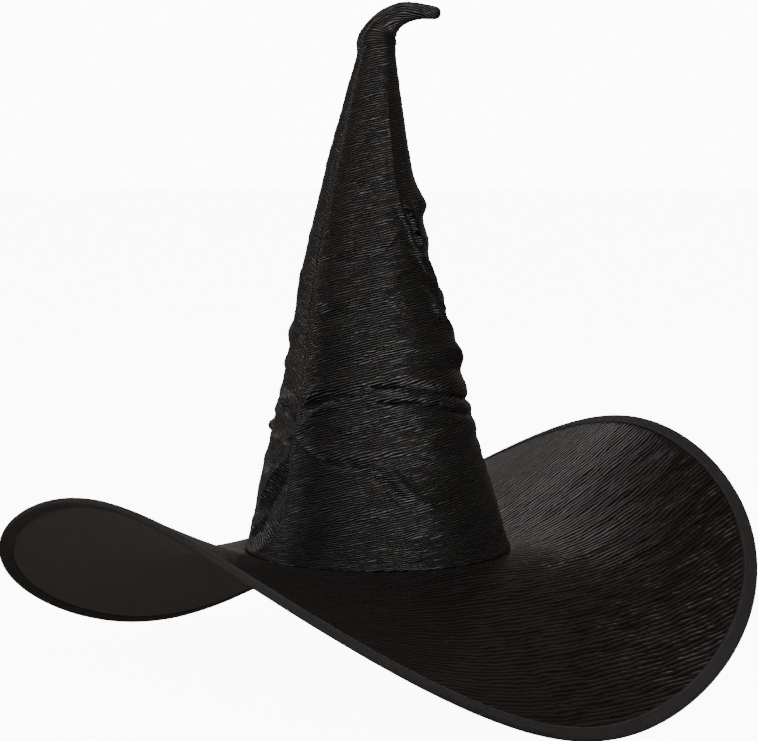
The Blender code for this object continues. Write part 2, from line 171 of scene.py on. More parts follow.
# ---- studio ----
ROOM_LIGHT = 0.14
BACKDROP_WHITE = 12.0
FLOOR_WHITE = 10.5
WARM_WHITE = (1.0, 0.965, 0.95)
CAMERA_DISTANCE = 2.2
CAMERA_RISE = radians(7.09)
CAMERA_LENS = 139.0  # mm, on a frame 36 mm wide
AIM = (0.001, 0.0, 0.1361)

# The lights: name, place, aim, width, height, power and colour.
LIGHTS = (
    ("overhead", (0.3, -1.5, 1.9), (0, 0, 0.15), 3.4, 0.9, 62, WARM_WHITE),
    ("right", (1.5, -1.7, 0.7), (0, 0, 0.15), 0.9, 1.2, 11, WARM_WHITE),
    ("far_right", (2.3, -0.4, 0.9), (0, 0, 0.15), 0.8, 1.2, 2, WARM_WHITE),
    ("left", (-1.2, -2.0, 0.6), (0, 0, 0.15), 1.2, 1.2, 9, WARM_WHITE),
    ("side", (-2.1, 0.5, 0.8), (0, 0, 0.12), 0.6, 0.9, 11, WARM_WHITE),
    ("back", (-0.3, 2.0, 0.75), (0.1, 0.05, 0.02), 0.9, 0.45, 1.6, WARM_WHITE),
    ("bounce", (-0.9, -1.2, -1.3), (-0.1, 0, 0.05), 1.6, 1.6, 12, (1.0, 0.88, 0.78)),
)


# ---- numbers over a grid ----
def noise_grid(u, v, seed):
    """Smooth noise from -1 to 1 over the plane, one cell to a unit."""
    table = np.random.RandomState(seed).rand(256, 256) * 2 - 1
    left = np.floor(u).astype(int)
    low = np.floor(v).astype(int)
    fu = u - left
    fv = v - low
    fu = fu * fu * (3 - 2 * fu)
    fv = fv * fv * (3 - 2 * fv)
    left, right = left % 256, (left + 1) % 256
    low, high = low % 256, (low + 1) % 256
    bottom = table[left, low] * (1 - fu) + table[right, low] * fu
    top = table[left, high] * (1 - fu) + table[right, high] * fu
    return bottom * (1 - fv) + top * fv


def streaks(u, v, length, width, seed):
    """Crinkle height from -1 to 1: long along u, narrow along v, each one wavering."""
    bend = 0.6 * noise_grid(u / length * 0.7, v / (6 * width), seed + 1)
    wide = noise_grid(u / length, v / width + bend, seed)
    fine = noise_grid(u / length * 1.7, v / width * 1.9 - bend, seed + 2)
    return 0.7 * wide + 0.4 * fine


def bell(x, width):
    return np.exp(-((x / width) ** 2))


def turn_from(angle, other):
    """The angle from other, from -pi to pi."""
    return (angle - other + pi) % (2 * pi) - pi


def rise(x, start, length):
    """0 before start, 1 once past start + length, and straight between."""
    return np.clip((x - start) / length, 0, 1)


def vectors(*parts):
    """Arrays put together as the components of vectors."""
    return np.stack(np.broadcast_arrays(*parts), axis=-1)


def quad_corners(values):
    """The values at the four corners of each square of a grid."""
    return np.stack([values[:-1, :-1], values[:-1, 1:], values[1:, 1:], values[1:, :-1]], axis=2)


def smooth_curve(x, xs, ys):
    """A curve through the points (xs, ys) with no corners, read at x."""
    slopes = np.gradient(ys, xs)
    i = np.clip(np.searchsorted(xs, x) - 1, 0, len(xs) - 2)
    step = xs[i + 1] - xs[i]
    t = (x - xs[i]) / step
    return (
        (2 * t**3 - 3 * t**2 + 1) * ys[i]
        + (t**3 - 2 * t**2 + t) * step * slopes[i]
        + (-2 * t**3 + 3 * t**2) * ys[i + 1]
        + (t**3 - t**2) * step * slopes[i + 1]
    )


# ---- meshes ----
def mesh_object(name, points, faces, uvs=None):
    """One smooth-shaded mesh. uvs: a pair for each corner of each face."""
    mesh = bpy.data.meshes.new(name)
    mesh.from_pydata(points.reshape(-1, 3).tolist(), [], faces.tolist())
    mesh.polygons.foreach_set("use_smooth", [True] * len(mesh.polygons))
    if uvs is not None:
        layer = mesh.uv_layers.new(name="cloth")
        layer.data.foreach_set("uv", uvs.astype(np.float32).ravel())
    item = bpy.data.objects.new(name, mesh)
    bpy.context.scene.collection.objects.link(item)
    return item


def grid_object(name, points, cloth=None, closed_along=False):
    """A mesh over rows of points, each row a closed ring.

    cloth holds (u, v) in metres, with one more column than points.
    """
    rows, columns = points.shape[:2]
    index = np.arange(rows * columns).reshape(rows, columns)
    if closed_along:
        index = np.vstack([index, index[:1]])
    faces = quad_corners(np.hstack([index, index[:, :1]])).reshape(-1, 4)
    uvs = None if cloth is None else quad_corners(cloth).reshape(-1, 2)
    return mesh_object(name, points, faces, uvs)


def strip_object(name, points, across, along):
    """A mesh over rows of points whose rows are open."""
    rows, columns = points.shape[:2]
    faces = quad_corners(np.arange(rows * columns).reshape(rows, columns)).reshape(-1, 4)
    return mesh_object(name, points, faces, vectors(across, along).reshape(-1, 2)[faces].reshape(-1, 2))


# ---- the crown's shape ----
def crown_radius(z):
    share = z / CROWN_TOP_Z
    return CROWN_RADIUS + (CROWN_TOP_RADIUS - CROWN_RADIUS) * share - CROWN_DIP * np.sin(pi * share)


def crown_axis_x(z):
    share = np.clip(z / CROWN_TOP_Z, 0, 1)
    return -CROWN_LEAN * share - CROWN_BOW * np.sin(pi * share**CROWN_BOW_POWER)


def crown_stations(count):
    """The crown and tip from hem to point: centre x, centre z, radius, facing and distance along."""
    z = np.linspace(CROWN_LOW_Z, CROWN_TOP_Z - 2 * MM, 40)
    tip = np.array(TIP_RINGS)
    x_all = np.concatenate([crown_axis_x(z), tip[:, 0] * MM])
    z_all = np.concatenate([z, tip[:, 1] * MM])
    radius = np.concatenate([crown_radius(z), tip[:, 2] * MM])
    facing = np.concatenate([np.full(len(z), 90.0), tip[:, 3]])
    step = np.hypot(np.diff(x_all), np.hypot(np.diff(z_all), np.diff(radius)))
    along = np.concatenate([[0], np.cumsum(step)])
    at = np.linspace(0, along[-1], count)
    return (
        smooth_curve(at, along, x_all),
        smooth_curve(at, along, z_all),
        np.maximum(smooth_curve(at, along, radius), 0.2 * MM),
        np.radians(smooth_curve(at, along, facing)),
        at,
    )


def seam_angle(z):
    """The seam runs straight up the cone and swings round at its foot."""
    foot = np.clip(1 - z / (34 * MM), 0, 1)
    return SEAM_ANGLE - radians(24) * foot**2


def crown_cloth(angle, along, z):
    """Each point's place on the cloth: u round the cone and v across the crinkles."""
    turned = (angle - seam_angle(z)) % (2 * pi)
    ease = (GRAIN_AT_SEAM - GRAIN_AT_END) / (2 * pi)
    rise = np.log(np.cos(GRAIN_AT_SEAM - ease * turned) / cos(GRAIN_AT_SEAM)) / ease
    size = np.maximum(CONE_SLANT - along, 0) * CONE_SINE
    return turned * size, along - rise * size


def main_fold_z(angle):
    """Height of the deep crease: it climbs over the front of the cone."""
    climb = 18 * MM * bell(turn_from(angle, radians(288)), 0.85)
    return 114 * MM + climb - 5 * MM * bell(turn_from(angle, radians(95)), 1.2)


def low_fold_z(angle):
    dip = 7 * MM * bell(turn_from(angle, radians(258)), 0.55)
    return 83 * MM - dip + 9 * MM * bell(turn_from(angle, radians(222)), 0.22)


# Soft folds: angle round (degrees), height (mm), length, width, tilt from level (degrees), depth (mm).
SOFT_FOLDS = (
    (195, 140, 120, 34.0, 0, -2.8),
    (345, 157, 60, 26.0, 0, 2.6),
    (348, 264, 40, 12.0, 0, 2.2),
    (202, 72, 30, 5.0, 34, 2.2),
    (204, 52, 44, 5.0, 55, 3.0),
    (212, 40, 44, 4.0, 66, -2.2),
    (198, 22, 24, 4.0, 30, 2.0),
    (229, 124, 24, 2.8, 34, 1.5),
    (233, 118, 26, 2.2, 38, -1.4),
    (238, 114, 28, 2.8, 34, 1.5),
    (231, 103, 22, 2.2, 24, 1.0),
    (236, 98, 26, 2.2, 18, -1.0),
    (252, 104, 40, 3.6, 12, 1.2),
    (262, 97, 44, 2.4, 10, -0.9),
    (296, 100, 40, 3.0, 4, -1.0),
    (305, 92, 36, 4.5, 10, 1.3),
    (296, 74, 40, 2.6, 8, -1.3),
    (300, 81, 40, 4.0, 8, 1.2),
    (275, 61, 40, 2.8, -38, -2.2),
    (283, 64, 40, 4.0, -40, 1.8),
    (306, 44, 50, 3.6, 8, -0.9),
    (262, 186, 56, 4.0, 6, -1.3),
    (268, 194, 56, 5.0, 6, 1.0),
    (280, 152, 70, 4.0, 9, -1.2),
    (276, 161, 60, 5.0, 9, 1.0),
    (252, 224, 40, 3.0, 10, -1.3),
    (256, 231, 40, 4.0, 10, 0.9),
    (284, 208, 40, 4.0, 20, 1.3),
    (292, 236, 24, 2.6, 32, 1.4),
    (288, 230, 26, 2.0, 32, -1.1),
    (270, 275, 30, 3.0, -8, -0.8),
    (322, 260, 18, 2.0, -48, 1.6),
    (326, 249, 26, 2.0, -52, 2.6),
    (323, 253, 24, 1.8, -52, -2.0),
    (328, 236, 30, 2.0, -52, 2.8),
    (325, 241, 28, 1.8, -52, -2.2),
    (336, 222, 24, 3.4, -45, 2.0),
    (342, 262, 28, 8.0, -20, 2.4),
    (345, 205, 34, 7.0, -34, 2.2),
    (338, 196, 26, 2.6, -40, -1.6),
    (340, 178, 34, 6.0, -40, 2.2),
    (334, 186, 28, 2.0, -46, 1.6),
    (345, 152, 34, 7.0, -14, 3.6),
    (338, 140, 36, 3.0, -6, -1.8),
    (345, 96, 40, 7.0, 10, 1.4),
    (330, 62, 50, 8.0, 30, -1.4),
    (20, 230, 36, 6.0, -34, 2.0),
    (12, 196, 40, 6.0, 28, 2.2),
    (24, 168, 44, 4.0, 24, -1.8),
    (40, 176, 50, 6.0, 26, 2.4),
    (70, 142, 50, 6.0, -20, 2.4),
    (62, 154, 50, 3.4, -22, -1.8),
    (95, 205, 40, 5.0, 24, 1.9),
    (100, 192, 40, 3.4, 22, -1.5),
    (120, 160, 50, 6.0, -28, 2.2),
    (150, 196, 40, 5.0, 32, 2.0),
    (148, 182, 40, 3.0, 32, -1.6),
    (165, 140, 40, 5.0, 20, 2.4),
    (172, 168, 34, 4.0, -30, 2.2),
    (80, 86, 60, 6.0, 12, 1.8),
    (140, 76, 50, 6.0, -16, 1.8),
    (110, 60, 54, 4.0, 10, -1.3),
    (30, 70, 50, 7.0, -14, 1.8),
)

# Narrow folds held by the seam and the wire, listed the same way. They go on after the cloth has settled.
NARROW_FOLDS = (
    (196, 206, 26, 2.4, -24, -1.6),
    (194, 194, 24, 6.0, -18, 1.0),
    (196, 178, 28, 2.0, -20, -2.4),
    (194, 160, 26, 7.5, -12, 1.8),
    (203, 166, 14, 3.0, -40, -1.2),
    (196, 141, 28, 2.0, -18, -2.6),
    (196, 130, 26, 4.5, -8, 1.8),
    (206, 134, 14, 2.2, -36, 1.4),
    (198, 119, 28, 1.8, 5, -2.6),
    (188, 114, 34, 1.8, 4, 5.2),
    (207, 116, 16, 1.8, -30, 1.6),
    (194, 105, 30, 2.2, 3, -3.4),
    (206, 100, 16, 1.8, 28, 1.4),
    (189, 96, 32, 1.9, 0, 4.2),
    (198, 88, 28, 2.2, -4, -2.4),
    (208, 84, 16, 2.0, 24, -1.4),
    (194, 74, 26, 7.0, 18, 2.0),
    (229, 124, 26, 2.2, 32, 1.2),
    (234, 117, 26, 2.0, 34, -1.2),
    (232, 104, 22, 2.0, 24, 0.9),
    (336, 256, 12, 1.4, -15, 0.8),
    (338, 238, 24, 1.5, -30, 2.0),
    (335, 230, 24, 2.2, -34, -0.6),
    (331, 222, 26, 1.5, -38, 2.6),
    (326, 213, 24, 3.0, -38, -1.0),
    (310, 243, 22, 2.6, 24, 1.2),
    (350, 186, 26, 1.8, -44, 1.8),
)


def folds_from(table, angle, z, radius):
    """How far the listed folds stand out."""
    out = np.zeros(angle.shape)
    for degrees, height, length, width, tilt, depth in table:
        across = turn_from(angle, radians(degrees)) * radius
        up = z - height * MM
        lean = radians(tilt)
        along_fold = across * cos(lean) + up * sin(lean)
        bend = 1.5 * MM * np.sin(along_fold / (7 * MM) + degrees)
        over_fold = up * cos(lean) - across * sin(lean) + bend
        out += depth * MM * bell(along_fold, 0.6 * length * MM) * bell(over_fold, width * MM)
    return out


def deep_folds(angle, z):
    """The slumped creases: how far the cloth stands out, and how far it hangs over the crease below."""
    sides = 0.5 + 0.5 * np.cos(angle - radians(350)) ** 2
    waver = noise_grid(angle * 5, z * 0, 71) * MM
    crease = z - main_fold_z(angle) + waver
    eased = 1 - 0.6 * bell(turn_from(angle, SEAM_ANGLE), 0.25)
    out = 2.0 * MM * bell(crease - 8 * MM, 6.5 * MM) - 3.4 * MM * eased * bell(crease + 0.4 * MM, 1.6 * MM)
    drop = 2.0 * MM * bell(crease - 3.5 * MM, 3.5 * MM)
    beyond = turn_from(angle, radians(250))
    shown = rise(beyond, 0, 0.35) * np.clip((2.2 - beyond) / 0.9, 0.25, 1)
    second = crease + 12.0 * MM - 0.8 * waver
    out += 3.6 * MM * sides * bell(crease + 6 * MM, 4.2 * MM) * np.maximum(shown, 0.5)
    out -= 2.8 * MM * shown * bell(second + 0.5 * MM, 1.6 * MM)
    out += 1.4 * MM * shown * bell(second + 6 * MM, 4.5 * MM)
    drop += 1.6 * MM * shown * bell(second - 3 * MM, 3.0 * MM)
    low = z - low_fold_z(angle) + waver
    front = bell(turn_from(angle, radians(262)), 0.62)
    out += front * (1.8 * MM * bell(low - 6 * MM, 5 * MM) - 2.2 * MM * bell(low, 1.6 * MM))
    drop += 2.0 * MM * front * bell(low - 4 * MM, 3.6 * MM)
    return out, drop


def seam_and_wire(angle, z, radius):
    """The sewn seam sinks in, the cloth puckers beside it, and the wire's casing lifts a ridge."""
    beside = turn_from(angle, seam_angle(z)) * radius
    out = -0.5 * MM * bell(beside, 1.6 * MM)
    beat = z / (6.5 * MM) + 1.6 * noise_grid(z / (15 * MM), z * 0, 5) + np.abs(beside) / (14 * MM)
    pucker = np.sin(2 * pi * beat) * (0.6 + 0.4 * noise_grid(z / (9 * MM), np.sign(beside), 6))
    strong = 0.12 + 0.5 * bell(z - 104 * MM, 30 * MM)
    out += 0.6 * MM * pucker * strong * bell(np.abs(beside) - 4 * MM, 4 * MM)
    drift = radians(26) * rise(-z, -285 * MM, 70 * MM) ** 1.5
    ridge = turn_from(angle, WIRE_ANGLE - radians(6) * rise(z, 0, 370 * MM) + drift) * radius
    held = rise(z, 165 * MM, 60 * MM) * rise(-z, -350 * MM, 60 * MM)
    out += 1.5 * MM * held * bell(ridge, 1.6 * MM)
    out -= 1.7 * MM * held * bell(ridge - 8 * MM, 5.5 * MM) * np.clip(radius / (30 * MM), 0, 1)
    return out


def elbow_creases(angle, along):
    """Small creases across the inside of the bend, fading round to its back."""
    place = (along - ELBOW_START) / ELBOW_LENGTH
    here = bell(place - 0.45, 0.45)
    inner = np.clip(np.cos(angle), 0, 1)
    wave = np.sin(2 * pi * (4.2 * place + 0.25 * np.sin(angle * 2)))
    return (0.55 * MM * inner - 0.12 * MM) * here * wave


def crown_points(grid, out, drop=0.0, stretch=0.0):
    """Points of the cone and tip, each moved out from the smooth shape and down."""
    wide = np.maximum(grid.radius + out, 0.3 * grid.radius)
    return vectors(
        grid.x + wide * np.cos(grid.angle) * np.sin(grid.facing),
        wide * np.sin(grid.angle),
        grid.z - wide * np.cos(grid.angle) * np.cos(grid.facing) - drop + stretch,
    )


def crown_grid(rows, columns):
    """The smooth shape at each point of a grid."""
    turns = np.linspace(0, 2 * pi, columns + 1)[:-1]
    angle = np.broadcast_to(turns, (rows, columns))
    stations = (np.broadcast_to(row[:, None], angle.shape) for row in crown_stations(rows))
    return Rings(angle, *stations)


def fold_room(z):
    """How freely the cloth can fold: none at the hem, and none where the stuffing fills it."""
    return rise(z, 4 * MM, 18 * MM), rise(-z, 6 * MM - CROWN_TOP_Z, 70 * MM)


def folded_crown(grid):
    """The folds that the cloth starts from."""
    deep, drop = deep_folds(grid.angle, grid.z)
    foot, upper = fold_room(grid.z)
    u, v = crown_cloth(grid.angle, grid.along, grid.z)
    slack = noise_grid(u / (46 * MM), v / (20 * MM), 11) + 0.6 * noise_grid(u / (24 * MM), v / (8 * MM), 12)
    soft = FOLD_DEPTH * folds_from(SOFT_FOLDS, grid.angle, grid.z, grid.radius)
    out = (deep + soft) * upper * foot
    out += 0.55 * MM * slack * foot * np.clip(grid.radius / (50 * MM), 0.25, 1)
    return crown_points(grid, out, drop * upper * foot)


def spare_length(grid):
    """How much longer the cloth is than the cone, up to each point. The seam's thread holds it short."""
    z = grid.z[:, 0]
    share = SPARE_MIDDLE * bell(z - 105 * MM, 45 * MM) + SPARE_ABOVE * bell(z - 200 * MM, 90 * MM)
    spare = np.cumsum(share * np.gradient(z))[:, None]
    beside = turn_from(grid.angle, seam_angle(grid.z)) * grid.radius
    return spare * (1 - 0.5 * bell(beside, 9 * MM))


def settle(points, longer, held):
    """Lets the cloth buckle into the space it has. longer is its shape before it was gathered."""
    rows, columns = points.shape[:2]
    item = grid_object("settling", points)
    item.shape_key_add(name="gathered")
    uncut = item.shape_key_add(name="uncut")
    uncut.data.foreach_set("co", longer.astype(np.float32).ravel())
    group = item.vertex_groups.new(name="held")
    for row in np.nonzero(held > 0)[0]:
        group.add(list(range(row * columns, (row + 1) * columns)), float(held[row]), "REPLACE")
    cloth = item.modifiers.new("cloth", "CLOTH")
    settings = cloth.settings
    settings.rest_shape_key = uncut
    settings.vertex_group_mass = "held"
    settings.quality = 6
    settings.mass = 0.02
    settings.effector_weights.gravity = 0
    settings.tension_stiffness = 30
    settings.compression_stiffness = 30
    settings.shear_stiffness = 8
    settings.bending_stiffness = 0.02
    settings.use_pressure = True
    settings.uniform_pressure_force = 0.08
    cloth.point_cache.frame_end = SETTLE_FRAMES
    for number in range(1, SETTLE_FRAMES + 1):
        bpy.context.scene.frame_set(number)
    settled = item.evaluated_get(bpy.context.evaluated_depsgraph_get()).to_mesh()
    out = np.empty(rows * columns * 3, dtype=np.float32)
    settled.vertices.foreach_get("co", out)
    bpy.context.scene.frame_set(1)
    bpy.data.objects.remove(item)
    return out.reshape(rows, columns, 3).astype(float)


def limited(start, moved):
    """The settled shape, with no point moved further than the cloth can go."""
    step = moved - start
    length = np.linalg.norm(step, axis=-1, keepdims=True)
    return start + step * SETTLE_CAP / np.maximum(length, SETTLE_CAP)


def kept_out(points, grid):
    """Holds the cloth off the layers behind it: the lining low down, the wire's casing higher up."""
    depth = grid.radius - np.hypot(points[..., 0] - grid.x, points[..., 1])
    casing = bell(turn_from(grid.angle, CASING_ANGLE) * grid.radius, 5 * MM) * (grid.z > 160 * MM)
    most = 1.0 * MM + 3.0 * MM * rise(grid.z, 30 * MM, 14 * MM) - 3.1 * MM * casing
    pressed = most * (1 - np.exp(-np.maximum(depth, 0) / most))
    over = np.where((grid.z < 340 * MM) & (depth > 0), depth - pressed, 0)
    return points + over[..., None] * outward(grid.angle)


def outward(angle):
    """Level directions away from the axis."""
    return vectors(np.cos(angle), np.sin(angle), 0)


def resampled(points, rows, columns):
    """The same surface with more points, on a smooth curve through the old ones."""
    for axis, count, loops in ((0, rows, False), (1, columns, True)):
        old = points.shape[axis]
        at = np.linspace(0, old, count, endpoint=False) if loops else np.linspace(0, old - 1, count)
        base = np.minimum(np.floor(at).astype(int), old - 1)
        t = (at - base).reshape((-1, 1, 1) if axis == 0 else (1, -1, 1))
        near = []
        for offset in (-1, 0, 1, 2):
            index = (base + offset) % old if loops else np.clip(base + offset, 0, old - 1)
            near.append(np.take(points, index, axis=axis))
        before, here, after, beyond = near
        cubic = 3 * (here - after) + beyond - before
        square = 2 * before - 5 * here + 4 * after - beyond
        points = here + 0.5 * t * (after - before + t * (square + t * cubic))
    return points


def surface_normals(points):
    """Outward directions of a grid whose rows are closed rings."""
    around = np.roll(points, -1, axis=1) - np.roll(points, 1, axis=1)
    up = np.gradient(points, axis=0)
    normal = np.cross(around, up)
    return normal / np.maximum(np.linalg.norm(normal, axis=-1, keepdims=True), 1e-12)


def crown_surface():
    """The settled cone and tip with its fine relief, and each point's place on the cloth."""
    coarse = crown_grid(SETTLE_ROWS, SETTLE_ROUND)
    points = folded_crown(coarse)
    z = coarse.z[:, 0]
    held = rise(-z, -14 * MM, 6 * MM) + rise(z, 330 * MM, 20 * MM)
    longer = crown_points(coarse, 0.0, 0.0, spare_length(coarse))
    points = limited(points, settle(points, longer, np.minimum(held, 1)))
    points = resampled(points, CROWN_ALONG, CROWN_ROUND)
    grid = crown_grid(CROWN_ALONG, CROWN_ROUND)
    foot, upper = fold_room(grid.z)
    u, v = crown_cloth(grid.angle, grid.along, grid.z)
    relief = seam_and_wire(grid.angle, grid.z, grid.radius) * np.maximum(upper, 0.3) * foot
    relief += folds_from(NARROW_FOLDS, grid.angle, grid.z, grid.radius) * foot
    relief += 0.3 * MM * streaks(u, v, 15 * MM, 3.2 * MM, 21) * np.clip(grid.radius / (12 * MM), 0.1, 1)
    relief += elbow_creases(grid.angle, grid.along)
    relief += 1.2 * MM * bell(grid.z - 3.6 * MM, 2.0 * MM)
    points = points + relief[..., None] * surface_normals(points)
    last = crown_cloth(grid.angle[:, -1] + 2 * pi / CROWN_ROUND, grid.along[:, -1], grid.z[:, -1])
    return kept_out(points, grid), np.concatenate([vectors(u, v), vectors(*last)[:, None]], axis=1)


def build_crown_cloth(points, cloth):
    """The cone and its bent tip are one sewn piece of cloth, turned in at the hem."""
    hem = turned_hem(points[0])
    points = np.concatenate([hem, points])
    cloth = np.concatenate([cloth[:1], cloth[:1], cloth[:1], cloth])
    item = grid_object("crown_cloth", points, cloth)
    finger_cloth(item)
    add_seam_map(item, len(hem))
    cap_end(item, CROWN_ROUND)
    return item


def finger_cloth(item):
    """On the bent tip the crinkles run along the finger, so its faces take their own coordinates."""
    grid = crown_grid(CROWN_ALONG, CROWN_ROUND)
    start = int(np.searchsorted(grid.along[:, 0], FINGER_FROM))
    turns = np.linspace(0, 2 * pi, CROWN_ROUND + 1)[None, :] - 1.5 * pi
    across = turns * grid.radius[start:, :1]
    onward = grid.along[start:, :1]
    u = onward * cos(FINGER_GRAIN) - across * sin(FINGER_GRAIN)
    v = onward * sin(FINGER_GRAIN) + across * cos(FINGER_GRAIN)
    corners = quad_corners(vectors(u, v)).reshape(-1, 2)
    layer = item.data.uv_layers["cloth"]
    uvs = np.empty(len(layer.data) * 2, dtype=np.float32)
    layer.data.foreach_get("uv", uvs)
    uvs[-corners.size :] = corners.ravel()
    layer.data.foreach_set("uv", uvs)


def add_seam_map(item, hem_rows):
    """A second set of cloth coordinates: the distance to the right of the seam, and the height."""
    grid = crown_grid(CROWN_ALONG, CROWN_ROUND + 1)
    angle = np.linspace(0, 2 * pi, CROWN_ROUND + 1)
    place = vectors((angle - seam_angle(grid.z)) * grid.radius, grid.z)
    corners = quad_corners(np.concatenate([place[:1]] * hem_rows + [place]))
    layer = item.data.uv_layers.new(name="seam")
    layer.data.foreach_set("uv", corners.astype(np.float32).ravel())


def build_interlining(points, cloth):
    """Stiff felt behind the lower cone. It takes the same folds."""
    grid = crown_grid(CROWN_ALONG, CROWN_ROUND)
    rows = slice(1, int(np.searchsorted(grid.z[:, 0], FELT_TOP_Z)))
    near, far = (points[rows] - inward * outward(grid.angle[rows]) for inward in (FELT_NEAR, FELT_FAR))
    pattern = np.concatenate([cloth[rows], cloth[rows][::-1], cloth[rows][:1]])
    return grid_object("crown_felt", np.concatenate([near, far[::-1]]), pattern, closed_along=True)


def build_seam_edges(points):
    """The cone's two raw edges, pressed open behind the seam."""
    grid = crown_grid(CROWN_ALONG, CROWN_ROUND)
    first, last = np.searchsorted(grid.z[:, 0], (SEAM_EDGE_LOW_Z, SEAM_EDGE_TOP_Z))
    rows = np.arange(first, last)[:, None]
    aside = np.linspace(-SEAM_EDGE_WIDTH, SEAM_EDGE_WIDTH, 9)
    z = grid.z[first:last, :1]
    place = (seam_angle(z) + aside / grid.radius[first:last, :1]) * CROWN_ROUND / (2 * pi)
    left = np.floor(place).astype(int)
    share = (place - left)[..., None]
    before, after = (points[rows, (left + step) % CROWN_ROUND] for step in (0, 1))
    inward = 1.3 * MM + 0.25 * MM * noise_grid(z / (7 * MM), aside / (3 * MM), 81)
    behind = inward[..., None] * outward(place * 2 * pi / CROWN_ROUND)
    return strip_object("seam_edges", before * (1 - share) + after * share - behind, aside[None, :], z)


def turned_hem(edge):
    """Three rings that turn the foot of the cloth in under itself."""
    rings = []
    for inward, z in ((3.2, 2.4), (2.2, 1.9), (0.6, 1.75)):
        ring = edge.copy()
        flat = np.hypot(ring[:, 0], ring[:, 1])
        share = (flat - inward * MM) / flat
        ring[:, 0] *= share
        ring[:, 1] *= share
        ring[:, 2] = z * MM
        rings.append(ring)
    return np.array(rings)


def cap_end(item, sides):
    """Closes the last ring of a grid with one face."""
    work = bmesh.new()
    work.from_mesh(item.data)
    work.verts.ensure_lookup_table()
    face = work.faces.new(work.verts[-sides:])
    face.smooth = True
    work.to_mesh(item.data)
    work.free()


# ---- the brim's shape ----
def edge_height(angle):
    """Height of the brim's edge: a saddle, a tilt and a three-sided waver."""
    saddle = BRIM_SADDLE * np.cos(2 * (angle - SADDLE_ANGLE))
    triple = BRIM_TRIPLE * np.cos(3 * (angle - TRIPLE_ANGLE))
    return BRIM_MEAN + BRIM_TILT * np.cos(angle) + saddle + triple


def brim_middle(angle, out):
    """Points in the middle of the brim's thickness, this far out along it from the crown."""
    height = edge_height(angle)
    level = np.sqrt(BRIM_REACH**2 - (height - BRIM_MEAN) ** 2)
    share = np.maximum(out, 0) / BRIM_REACH
    radius = CROWN_RADIUS + np.where(out > 0, share * level, out)
    return vectors(radius * np.cos(angle), radius * np.sin(angle), height * share**BRIM_CURL)


def brim_points(angle, out, above):
    """Points this far above the middle of the brim's thickness, measured square to it."""
    at = np.maximum(out, 1 * MM)
    across = brim_middle(angle, at + 0.2 * MM) - brim_middle(angle, at - 0.2 * MM)
    round_hat = brim_middle(angle + 0.001, at) - brim_middle(angle - 0.001, at)
    normal = np.cross(across, round_hat)
    normal /= np.linalg.norm(normal, axis=-1, keepdims=True)
    start = rise(out, 0, 6 * MM)[..., None]
    normal = normal * start + np.array([0, 0, 1.0]) * (1 - start)
    normal /= np.linalg.norm(normal, axis=-1, keepdims=True)
    return brim_middle(angle, out) + above[..., None] * normal


def brim_cloth_grid(rows, columns):
    """Angle and distance out over the brim's cloth, its place along the grain, and how free it lies."""
    outs = np.linspace(BRIM_INSIDE, BRIM_CLOTH_END, rows)
    angle, out = np.meshgrid(np.linspace(0, 2 * pi, columns + 1), outs)
    flat = CROWN_RADIUS + out
    free = rise(out, 0, 6 * MM) * rise(-out, 6 * MM - BRIM_REACH, 6 * MM)
    return angle, out, flat * np.cos(angle - BRIM_GRAIN), flat * np.sin(angle - BRIM_GRAIN), free


def build_brim_top():
    """The upper cloth, with its crinkles all along one straight grain."""
    angle, out, u, v, free = brim_cloth_grid(BRIM_OUT, BRIM_ROUND)
    crinkle = streaks(u, v, 26 * MM, 3.6 * MM, 31)
    slack = noise_grid(u / (60 * MM), v / (22 * MM), 33)
    above = TOP_HEIGHT + (0.12 * MM * crinkle + 0.12 * MM * slack + 0.35 * MM) * free
    return grid_object("brim_top_sheet", brim_points(angle, out, above)[:, :-1], vectors(u, v))


def build_brim_under():
    """The plain lower cloth, slightly slack."""
    angle, out, u, v, free = brim_cloth_grid(90, BRIM_ROUND // 2)
    slack = noise_grid(u / (70 * MM), v / (40 * MM), 35) + 0.3 * noise_grid(u / (12 * MM), v / (12 * MM), 36)
    above = UNDER_HEIGHT - (0.25 * MM * slack + 0.3 * MM) * free
    return grid_object("brim_under_sheet", brim_points(angle, out, above)[:, :-1], vectors(u, v))


def build_binding():
    """Tape folded over the edge. It lies flat, with a small waver where the stitches pull it."""
    low = BRIM_REACH - BINDING_WIDTH
    half = [(low, 1.5), (low + 0.1 * MM, 2.05), (low + 0.6 * MM, 2.35), (low + 1.6 * MM, 2.2)]
    half += [(low + share * BINDING_WIDTH, 2.4) for share in np.linspace(0.3, 0.82, 5)]
    for turn in np.radians(np.linspace(80, 0, 5)):
        half.append((BRIM_REACH + BINDING_TURN * (cos(turn) - 1), BINDING_FACE / MM * sin(turn)))
    profile = np.array(half + [(out, -above) for out, above in half[-2::-1]])
    angle, out = np.meshgrid(np.linspace(0, 2 * pi, BRIM_ROUND + 1), profile[:, 0])
    above = profile[:, 1:] * MM
    around = angle * (CROWN_RADIUS + BRIM_REACH)
    waver = 0.22 * MM * np.sin(2 * pi * around / STITCH_PITCH) * bell(out - low - 1.6 * MM, 1.2 * MM)
    slack = 0.25 * MM * noise_grid(around / (14 * MM), out / (8 * MM), 41)
    inner = 0.35 * MM * noise_grid(around / (18 * MM), out * 0, 42) * bell(out - low, 2 * MM)
    lift = waver + slack * bell(out - low - 5 * MM, 4 * MM)
    points = brim_points(angle, out + inner, above + np.sign(above) * lift)
    cloth = vectors(around, np.arange(len(profile))[:, None] * 1.2 * MM)
    return grid_object("edge_binding", points[:, :-1], cloth)


